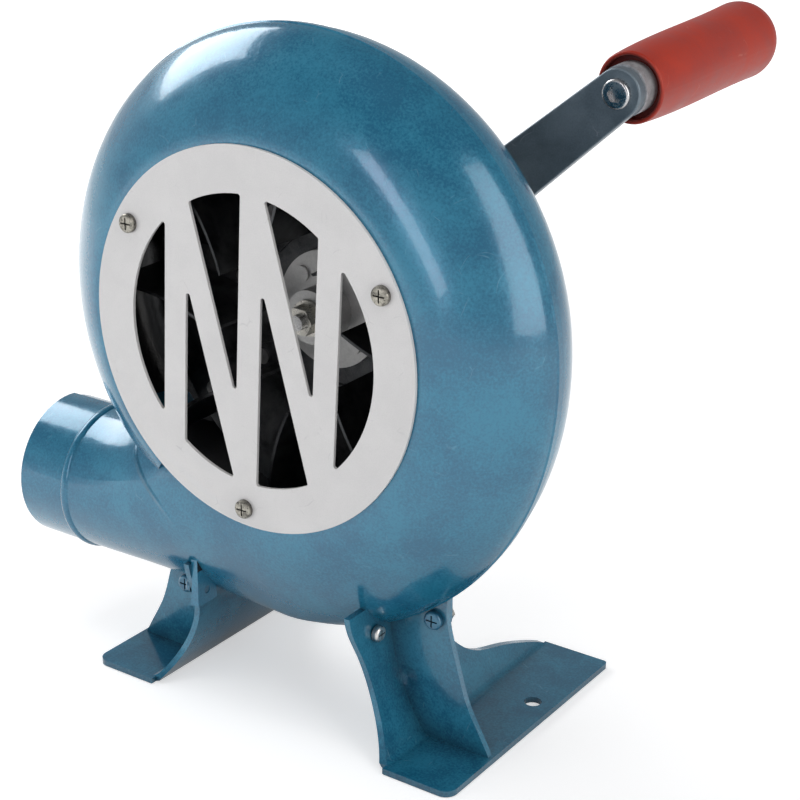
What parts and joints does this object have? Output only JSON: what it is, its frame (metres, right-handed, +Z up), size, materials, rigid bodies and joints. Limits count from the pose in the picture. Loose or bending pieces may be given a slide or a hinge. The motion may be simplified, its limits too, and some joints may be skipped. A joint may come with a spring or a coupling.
{
  "type": "hand crank forge blower",
  "caption": "Hand cranked centrifugal blower: round two-part scroll housing with a side outlet, slotted intake plate, geared fan, crank arm with a plain grip, on two splayed bracket feet.",
  "frame": {"origin": "on the bench, at the middle of the line between the two foot holes", "axes": "+Z up; the shafts lie along Y, with the intake towards -Y and the crank towards +Y; the outlet points along -X"},
  "size_m": [0.2326, 0.2318, 0.269],
  "materials": {
    "blue_paint": "glossy hammered enamel",
    "grille_plate": "satin",
    "zinc_fasteners": "zinc plated",
    "grey_casting": "as cast, painted grey",
    "gasket_fibre": "matt",
    "bush_bronze": "machined",
    "bearing_steel": "polished",
    "gear_steel": "machined, oiled",
    "fan_sheet": "mill finish",
    "fan_hub": "turned",
    "dark_steel": "blued, lightly worn",
    "bright_steel": "turned",
    "red_grip": "semi gloss"
  },
  "bodies": {
    "housing": {"front_shell": "blue_paint", "rear_shell": "blue_paint", "intake_grille": "grille_plate", "grille_screws": "zinc_fasteners", "right_foot": "blue_paint", "left_foot": "blue_paint", "right_gusset": "blue_paint", "left_gusset": "blue_paint", "foot_screws": "zinc_fasteners", "foot_nuts": "zinc_fasteners", "case_gasket": "gasket_fibre", "gear_case": "grey_casting", "case_screws": "zinc_fasteners", "case_nuts": "zinc_fasteners", "cover_gasket": "gasket_fibre", "gear_cover": "grey_casting", "cover_screws": "zinc_fasteners", "oil_plug": "zinc_fasteners", "crank_bush": "bush_bronze", "layshaft_bush_front": "bush_bronze", "layshaft_bush_rear": "bush_bronze", "front_bearing_outer_ring": "bearing_steel", "rear_bearing_outer_ring": "bearing_steel", "front_bearing_balls": "bearing_steel", "rear_bearing_balls": "bearing_steel"},
    "fan": {"fan_shaft": "gear_steel", "front_bearing_inner_ring": "bearing_steel", "rear_bearing_inner_ring": "bearing_steel", "hub_spacer": "gear_steel", "impeller_hub": "fan_hub", "impeller_disc": "fan_sheet", "impeller_blades": "fan_sheet", "impeller_rivets": "zinc_fasteners", "fan_washer": "zinc_fasteners", "fan_nut": "zinc_fasteners", "fan_pinion": "gear_steel"},
    "layshaft": {"layshaft": "gear_steel", "layshaft_gear": "gear_steel", "layshaft_pinion": "gear_steel"},
    "crank": {"crank_shaft": "gear_steel", "crank_gear": "gear_steel", "crank_gear_key": "gear_steel", "crank_gear_circlip": "zinc_fasteners", "crank_arm": "dark_steel", "crank_washer": "zinc_fasteners", "crank_nut": "zinc_fasteners", "handle_spindle": "bright_steel", "spindle_collar": "bright_steel", "grip_clip": "zinc_fasteners"},
    "grip": {"handle_grip": "red_grip"}
  },
  "joints": [
    {"name": "crank_turn", "type": "hinge", "parent": "housing", "child": "crank", "pos_m": [0, 0.023, 0.17], "axis": [0, 1, 0], "continuous": true},
    {"name": "layshaft_spin", "type": "hinge", "parent": "housing", "child": "layshaft", "pos_m": [-0.03445, 0.013, 0.15281], "axis": [0, 1, 0], "continuous": true},
    {"name": "fan_spin", "type": "hinge", "parent": "housing", "child": "fan", "pos_m": [0, -0.017, 0.159], "axis": [0, 1, 0], "continuous": true},
    {"name": "grip_spin", "type": "hinge", "parent": "crank", "child": "grip", "pos_m": [0.08167, 0.038, 0.23975], "axis": [0, 0.9991, 0.0419], "continuous": true}
  ],
  "couplings": [
    {"joint": "layshaft_spin", "follows": "crank_turn", "ratio": -4.5},
    {"joint": "fan_spin", "follows": "crank_turn", "ratio": 18}
  ]
}
